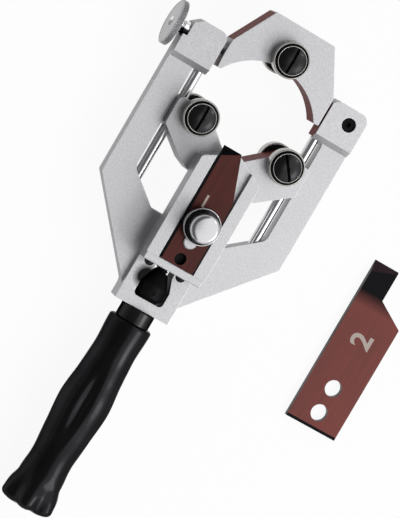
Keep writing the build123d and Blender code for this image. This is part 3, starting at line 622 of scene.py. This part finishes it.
# Handle: a revolved profile whose sides are then drawn in between its lobes
gripShape = {
    "steps": 240,
    "rings": 130,
    "stations": (0, 0.9, 3, 19, 37, 55.5, 75, 94, 108, 117, 122.5, 125.4, 126.7),  # mm below the top
    "radii": (12.9, 13.85, 13.9, 13.25, 14.9, 17.0, 15.2, 13.2, 14.7, 17.7, 18.3, 16.4, 12.0),
    # each set of flutes: its middle below the top, half length, depth, sharpness and the turn of its
    # first lobe, in degrees from the tool's front towards its right
    "flutes": (
        {"lobes": 4, "at": 55.5, "half": 33.0, "depth": 2.4, "sharp": 6.0, "turn": 29.2},
        {"lobes": 6, "at": 128.0, "half": 27.0, "depth": 3.6, "sharp": 1.3, "turn": -15.8},
    ),
    "crowding": 0.022,  # draws the rings together towards both ends
    "socket": (6.0, 5.2, 1.6),  # mouth and floor radius and depth of the end's dimple
    "fluted": 7.0,  # radius inside which nothing is drawn in
}


def smoothCurve(stations, values, at):
    # a cubic through the stations, with slopes that never overshoot
    for index in range(len(stations) - 1):
        if at <= stations[index + 1]:
            break

    def slope(place):
        if place in (0, len(stations) - 1):
            return 0.0
        left = (values[place] - values[place - 1]) / (stations[place] - stations[place - 1])
        right = (values[place + 1] - values[place]) / (stations[place + 1] - stations[place])
        return 0.0 if left * right <= 0 else 2 * left * right / (left + right)

    width = stations[index + 1] - stations[index]
    part = (at - stations[index]) / width
    square, cube = part * part, part**3
    return (
        values[index] * (2 * cube - 3 * square + 1)
        + slope(index) * width * (cube - 2 * square + part)
        + values[index + 1] * (3 * square - 2 * cube)
        + slope(index + 1) * width * (cube - square)
    )


def fluteDepth(flute, below, turn):
    reach = abs(below - flute["at"]) / flute["half"]
    if reach >= 1:
        return 0.0
    between = 0.5 - 0.5 * math.cos(flute["lobes"] * (turn - math.radians(flute["turn"])))
    return flute["depth"] * (0.5 + 0.5 * math.cos(math.pi * reach)) * between ** flute["sharp"]


def makeGrip(shape):
    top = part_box("handle_grip")[1][1]
    length = shape["stations"][-1]
    bm = bmesh.new()
    profile = [Vector((0, top, 0))]
    for ring in range(shape["rings"] + 1):
        part = ring / shape["rings"]
        below = length * (part - shape["crowding"] * math.sin(2 * math.pi * part))
        radius = smoothCurve(shape["stations"], shape["radii"], below)
        profile.append(Vector((radius * mm, top - below * mm, 0)))
    mouth, dimple, deep = shape["socket"]
    profile.append(Vector((mouth * mm, top - length * mm, 0)))
    profile.append(Vector((dimple * mm, top - (length - deep) * mm, 0)))
    profile.append(Vector((0, top - (length - deep) * mm, 0)))
    bmesh.ops.spin(
        bm, geom=profileEdge(bm, profile), cent=(0, 0, 0), axis=(0, 1, 0),
        angle=2 * math.pi, steps=shape["steps"], use_merge=True, use_duplicate=False)
    for vert in bm.verts:
        radius = math.hypot(vert.co.x, vert.co.z)
        if radius < shape["fluted"] * mm:
            continue
        below = (top - vert.co.y) / mm
        turn = math.atan2(vert.co.x, vert.co.z)
        depth = sum(fluteDepth(flute, below, turn) for flute in shape["flutes"])
        share = 1 - depth * mm / radius
        vert.co.x *= share
        vert.co.z *= share
    return finishPiece("flutedGrip", bm, "grip", "handle", sharpAt=50)


grip = makeGrip(gripShape)
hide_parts("handle_grip")
print("handle made")


# Knurled disc of the latch, domed a little on its outer face
discShape = {
    "teeth": 54,
    "rows": 4,
    "fine": 6,  # steps for each tooth
    "depth": 0.5,
    "edge": 0.45,
    "bore": 3.05,
    "chamfer": 1.5,
    "knurlEnd": 0.45,  # from here on in shares of the chamfer: where the knurl stops
    "corner": ((0.12, 0.6), (0, 1), (0, 1.3)),  # in from the outer face and down from the rim
    "dish": 1.5,
}


def makeDisc(shape):
    low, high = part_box("latch_knob")
    axisY = (low[1] + high[1]) / 2
    radius = (high[1] - low[1]) / 2
    bm = bmesh.new()
    edge = shape["edge"] * mm
    chamfer = shape["chamfer"] * mm
    start = low[0] + chamfer * shape["knurlEnd"]
    end = high[0] - edge
    bands = shape["rows"] * shape["fine"]
    profile = [Vector((high[0], axisY + shape["bore"] * mm, 0)), Vector((high[0], axisY + radius - edge, 0))]
    for band in range(bands + 1):
        profile.append(Vector((end + (start - end) * band / bands, axisY + radius, 0)))
    for inwards, down in shape["corner"]:
        profile.append(Vector((low[0] + chamfer * inwards, axisY + radius - chamfer * down, 0)))
    profile.append(Vector((low[0] + 0.2 * mm, axisY + radius - chamfer * shape["dish"], 0)))
    profile.append(Vector((low[0] + 0.1 * mm, axisY + shape["bore"] * mm, 0)))
    profile.append(Vector((low[0] - 0.02 * mm, axisY, 0)))
    bmesh.ops.spin(
        bm, geom=profileEdge(bm, profile), cent=(0, axisY, 0), axis=(1, 0, 0),
        angle=2 * math.pi, steps=shape["teeth"] * shape["fine"], use_merge=True, use_duplicate=False)
    for vert in bm.verts:
        up, out = vert.co.y - axisY, vert.co.z
        reach = math.hypot(up, out)
        if reach < radius - 0.05 * mm:
            continue
        turn = math.atan2(out, up) * shape["teeth"]
        lead = (vert.co.x - start) / (end - start) * shape["rows"] * math.pi * 2
        ridge = max(abs(math.cos((turn + lead) / 2)), abs(math.cos((turn - lead) / 2)))
        share = 1 - shape["depth"] * mm * ridge**2 / reach
        vert.co.y = axisY + up * share
        vert.co.z = out * share
    return finishPiece("knurledDisc", bm, "disc", "latch_knob", sharpAt=22)


disc = makeDisc(discShape)
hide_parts("latch_knob")
print("knurled disc made")


# Clamping knob: a domed cap over a flange that falls away to a rounded rim
knobShape = {
    "hub": (7.0, 1.6),  # radius and height, mm
    "rim": 11.3,
    "rimTop": 3.2,
    "lip": 0.45,
    "cove": 7.6,
    "coveTop": 4.9,
    "cap": 8.9,
    "capLow": 5.6,
    "capRound": 2.6,
    "dome": 0.22,
    "steps": 128,
}


def arcPoints(centre, radius, start, end, count):
    # along an arc in the plane of reach and height, angles in degrees
    turns = [math.radians(start + (end - start) * step / count) for step in range(count + 1)]
    return [(centre[0] + radius * math.cos(turn), centre[1] + radius * math.sin(turn)) for turn in turns]


def makeKnob(shape):
    low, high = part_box("blade_knob")
    axisY = (low[1] + high[1]) / 2
    base = low[2] / mm
    top = high[2] / mm
    hub, step = shape["hub"]
    flange = base + step
    lip, rim = shape["lip"], shape["rim"]
    capWall = shape["cap"] - shape["capRound"]
    capShoulder = top - shape["dome"] - shape["capRound"]
    outline = [(4.2, base), (hub, base), (hub, flange), (rim - 0.6, flange), (rim, flange + 0.6)]
    outline += arcPoints((rim - lip, flange + shape["rimTop"]), lip, 0, 120, 6)
    outline.append((rim - 2 * lip, flange + shape["rimTop"] + 0.1))
    outline.append((shape["cove"] + 0.9, flange + shape["coveTop"] - 0.5))
    outline.append((shape["cove"], flange + shape["coveTop"]))
    outline.append((shape["cove"], flange + shape["capLow"]))
    outline.append((shape["cap"] - 0.4, flange + shape["capLow"]))
    outline.append((shape["cap"], flange + shape["capLow"] + 0.4))
    outline += arcPoints((capWall, capShoulder), shape["capRound"], 0, 78, 12)
    crown = outline[-1]
    for part in range(1, 9):
        share = 1 - part / 8
        outline.append((crown[0] * share, top - (top - crown[1]) * share**2))
    bm = bmesh.new()
    profile = [Vector((reach * mm, axisY, height * mm)) for reach, height in outline]
    bmesh.ops.spin(
        bm, geom=profileEdge(bm, profile), cent=(0, axisY, 0), axis=(0, 0, 1),
        angle=2 * math.pi, steps=shape["steps"], use_merge=True, use_duplicate=False)
    return finishPiece("turnedKnob", bm, "knob", "blade_knob", sharpAt=35)


knob = makeKnob(knobShape)
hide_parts("blade_knob")
print("clamping knob made")


# Feed screw: the threaded length over its core, inside the radius of the plain CAD screw
threadShape = {"pitch": 2.0, "depth": 0.7, "turnSteps": 24, "radius": 4.0}


def makeThread(name, body, axisStart, axisEnd, radius, pitch, depth):
    # a trapezium carried round and along the Y axis, one pitch for each turn
    turns = int((axisEnd - axisStart) / pitch)
    bm = bmesh.new()
    root = radius - depth
    crest = radius - 0.02 * mm
    buried = root - 0.3 * mm
    tooth = [
        Vector((buried, axisStart, 0)),
        Vector((root, axisStart + pitch * 0.08, 0)),
        Vector((crest, axisStart + pitch * 0.33, 0)),
        Vector((crest, axisStart + pitch * 0.62, 0)),
        Vector((root, axisStart + pitch * 0.88, 0)),
        Vector((buried, axisStart + pitch * 0.98, 0)),
    ]
    steps = threadShape["turnSteps"] * turns
    bmesh.ops.spin(
        bm, geom=profileEdge(bm, tooth), cent=(0, 0, 0), axis=(0, 1, 0), angle=2 * math.pi * turns,
        dvec=(0, pitch * turns / steps, 0), steps=steps, use_merge=False, use_duplicate=False)
    ends = [edge for edge in bm.edges if len(edge.link_faces) == 1]
    bmesh.ops.holes_fill(bm, edges=ends, sides=0)
    core = [
        Vector((0, axisStart, 0)), Vector((root, axisStart, 0)), Vector((root, axisEnd + 0.8 * mm, 0)),
        Vector((root - 0.6 * mm, axisEnd + 1.4 * mm, 0)), Vector((0, axisEnd + 1.4 * mm, 0))]
    bmesh.ops.spin(
        bm, geom=profileEdge(bm, core), cent=(0, 0, 0), axis=(0, 1, 0),
        angle=2 * math.pi, steps=48, use_merge=True, use_duplicate=False)
    return finishPiece(name, bm, "collar", body, sharpAt=30)


screwLow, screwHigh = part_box("feed_screw")
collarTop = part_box("thrust_collar")[1][1]
thread = makeThread(
    "feedThread", "handle", collarTop - 3.5 * mm, screwHigh[1] - 3.0 * mm, threadShape["radius"] * mm,
    threadShape["pitch"] * mm, threadShape["depth"] * mm)


def makeShank():
    bm = bmesh.new()
    wide = (screwHigh[0] - screwLow[0]) / 2
    profile = [
        Vector((0, screwLow[1], 0)), Vector((wide - 0.6 * mm, screwLow[1], 0)),
        Vector((wide, screwLow[1] + 0.6 * mm, 0)), Vector((wide, collarTop - 4.0 * mm, 0)),
        Vector((0, collarTop - 4.0 * mm, 0))]
    bmesh.ops.spin(
        bm, geom=profileEdge(bm, profile), cent=(0, 0, 0), axis=(0, 1, 0),
        angle=2 * math.pi, steps=64, use_merge=True, use_duplicate=False)
    return finishPiece("feedShank", bm, "collar", "handle", sharpAt=30)


shank = makeShank()
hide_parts("feed_screw")
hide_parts("feed_screw")
print("feed screw made")


# Bright turned edge round each roller screw's head, also a painted highlight along the head's chamfer
rimShape = {"radius": 8.55, "wire": 0.24, "steps": 96, "over": 0.92}


def makeRim(name, body, centre):
    bm = bmesh.new()
    start = Matrix.Translation(centre + Vector((rimShape["radius"] * mm, 0, 0))) @ Matrix.Rotation(
        math.pi / 2, 4, "X")
    section = bmesh.ops.create_circle(bm, segments=10, radius=rimShape["wire"] * mm, matrix=start)
    edges = list({edge for vert in section["verts"] for edge in vert.link_edges})
    bmesh.ops.spin(
        bm, geom=section["verts"] + edges, cent=centre, axis=(0, 0, 1),
        angle=2 * math.pi, steps=rimShape["steps"], use_merge=True, use_duplicate=False)
    return finishPiece(name, bm, "rim", body)


for place, body in (("upper", "upper_jaw"), ("left", "slider"), ("right", "slider")):
    for word, side in (("front", 1), ("back", -1)):
        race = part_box(f"roller_{place}_{word}")
        face = race[1][2] if side > 0 else race[0][2]
        centre = Vector((*axles[place][:2], face + side * rimShape["over"] * mm))
        makeRim(f"headRim_{place}_{word}", body, centre)
print("screw rims made")


# Plain numbers etched where the two blades are told apart
marks = {
    "fitted": {"text": "1", "size": 11.0, "bold": 0.16, "at": (-4.6, -60.4), "turn": 0.0,
               "node": "cutting_blade", "body": "slider"},
    "loose": {"text": "2", "size": 19.0, "bold": 0.42, "at": (137.0, -88.2), "turn": 90.0,
              "node": "spare_blade", "body": "spare_blade"},
}


def makeMark(name, mark):
    curve = bpy.data.curves.new(name, "FONT")
    curve.body = mark["text"]
    curve.size = mark["size"] * mm
    curve.extrude = 0.02 * mm
    curve.offset = mark["bold"] * mm
    curve.align_x = "CENTER"
    curve.align_y = "CENTER"
    source = bpy.data.objects.new(name + "Text", curve)
    bpy.context.scene.collection.objects.link(source)
    bpy.context.view_layer.update()
    mesh = bpy.data.meshes.new_from_object(source)
    bpy.data.objects.remove(source)
    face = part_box(mark["node"])[1][2]
    place = Vector((mark["at"][0] * mm, mark["at"][1] * mm, face + 0.015 * mm))
    mesh.transform(Matrix.Translation(place) @ Matrix.Rotation(math.radians(mark["turn"]), 4, "Z"))
    mesh.name = name
    mesh.materials.clear()
    mesh.materials.append(looks["mark"])
    piece = bpy.data.objects.new(name, mesh)
    bpy.context.scene.collection.objects.link(piece)
    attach(piece, mark["body"])


for word, mark in marks.items():
    makeMark("bladeMark_" + word, mark)
print("marks made")


# Plain white floor, a soft key light from the lower right of the picture and a small one from its right
floorShape = {"size": 6.0, "below": 0.05}
lamps = {
    "key": {"place": (1.35, -0.35, 1.25), "size": (0.7, 0.7), "power": 8.0},
    "sparkle": {"place": (0.95, 0.99, 0.98), "size": (0.12, 0.12), "power": 1.4},
}
# The studio by direction: a big soft box on the right, a dark ceiling and pale walls low down
worldLook = {
    "ceiling": (0.16, 0.16, 0.165),
    "walls": (0.50, 0.50, 0.51),
    "softBox": (1.45, 1.45, 1.46),
    "softBoxEdge": (0.08, 0.22),
    "softBoxLow": (0.12, 0.40),
    "wallTop": (0.55, 0.30),
}
floorGlow = 0.93  # share of the plain white that the camera sees in the floor


def makeFloor(shape):
    bm = bmesh.new()
    bmesh.ops.create_grid(bm, x_segments=1, y_segments=1, size=shape["size"] / 2)
    level = cadBounds[0][2] - shape["below"] * mm
    bmesh.ops.translate(bm, verts=bm.verts, vec=(0, 0, level))
    mesh = bpy.data.meshes.new("floor")
    bm.to_mesh(mesh)
    bm.free()
    material, tree, shader = startMaterial("whiteFloor", (0.92, 0.92, 0.92), 0.0, 0.9)
    rays = addNode(tree, "LightPath").outputs
    seen = maths(tree, "MAXIMUM", rays["Is Camera Ray"], rays["Is Transmission Ray"])
    seen = maths(tree, "MAXIMUM", seen, rays["Is Glossy Ray"])
    glow = addNode(tree, "Emission", {"Color": (1, 1, 1, 1), "Strength": 1.0})
    shares = maths(tree, "MULTIPLY", seen, floorGlow)
    mix = addNode(tree, "MixShader", {0: shares, 1: shader.outputs[0], 2: glow.outputs[0]})
    tree.links.new(mix.outputs[0], tree.nodes["Material Output"].inputs["Surface"])
    mesh.materials.append(material)
    floor = bpy.data.objects.new("floor", mesh)
    bpy.context.scene.collection.objects.link(floor)


def makeLamp(name, lamp):
    data = bpy.data.lights.new(name, "AREA")
    data.shape = "RECTANGLE"
    data.size, data.size_y = lamp["size"]
    data.energy = lamp["power"]
    light = bpy.data.objects.new(name, data)
    light.location = lamp["place"]
    light.rotation_euler = (-Vector(lamp["place"])).to_track_quat("-Z", "Y").to_euler()
    bpy.context.scene.collection.objects.link(light)


def makeWorld(look):
    world = bpy.data.worlds.new("studio")
    world.use_nodes = True
    tree = world.node_tree
    direction = addNode(tree, "TexCoord").outputs["Generated"]
    parts = addNode(tree, "SeparateXYZ", {"Vector": direction}).outputs
    low = rangeOf(tree, parts[2], *look["wallTop"], 0.0, 1.0)
    right = rangeOf(tree, parts[0], *look["softBoxEdge"], 0.0, 1.0)
    above = rangeOf(tree, parts[2], *look["softBoxLow"], 0.0, 1.0)
    color = mixColors(tree, low, look["ceiling"], look["walls"])
    color = mixColors(tree, maths(tree, "MULTIPLY", right, above), color, look["softBox"])
    background = tree.nodes["Background"]
    tree.links.new(color, background.inputs["Color"])
    background.inputs["Strength"].default_value = 1.0
    bpy.context.scene.world = world


makeFloor(floorShape)
for name, lamp in lamps.items():
    makeLamp(name, lamp)
makeWorld(worldLook)
print("floor and lights set")
